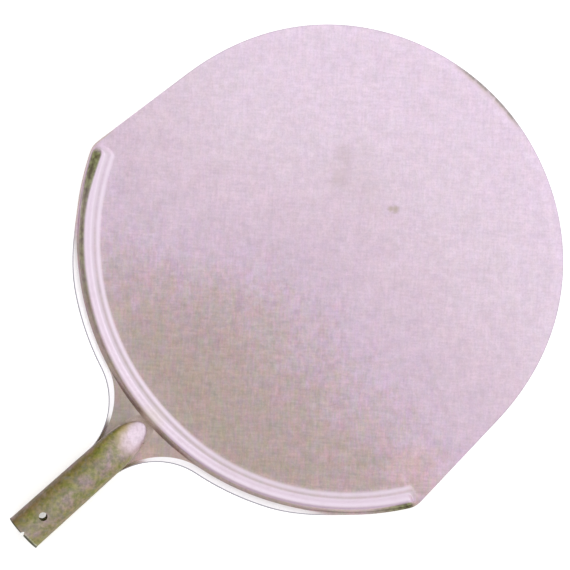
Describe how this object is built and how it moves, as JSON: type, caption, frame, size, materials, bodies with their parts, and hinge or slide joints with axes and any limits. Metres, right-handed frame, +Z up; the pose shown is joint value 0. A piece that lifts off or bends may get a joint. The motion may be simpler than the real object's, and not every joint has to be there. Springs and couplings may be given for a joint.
{
  "type": "pizza peel head",
  "caption": "Round pressed steel pizza peel blade with a stiffening bead and upturned lip at the rear and a welded tubular socket for a wooden pole.",
  "frame": {"origin": "middle of the length and width, in the plane of the blade's flat underside", "axes": "+Y from the socket's mouth to the blade's front edge, +X to the right seen from above, +Z up, out of the face that carries the pizza"},
  "size_m": [0.3734, 0.4948, 0.0314],
  "materials": {
    "blade_steel": "satin, fine crossed grain, lavender-grey sheen",
    "socket_steel": "dull, mottled olive-grey scale left by rolling and heating",
    "weld_steel": "rippled weld metal"
  },
  "bodies": {
    "root": {"blade": "blade_steel", "socket": "socket_steel", "weld_left": "weld_steel", "weld_nose": "weld_steel", "weld_right": "weld_steel"}
  },
  "joints": []
}
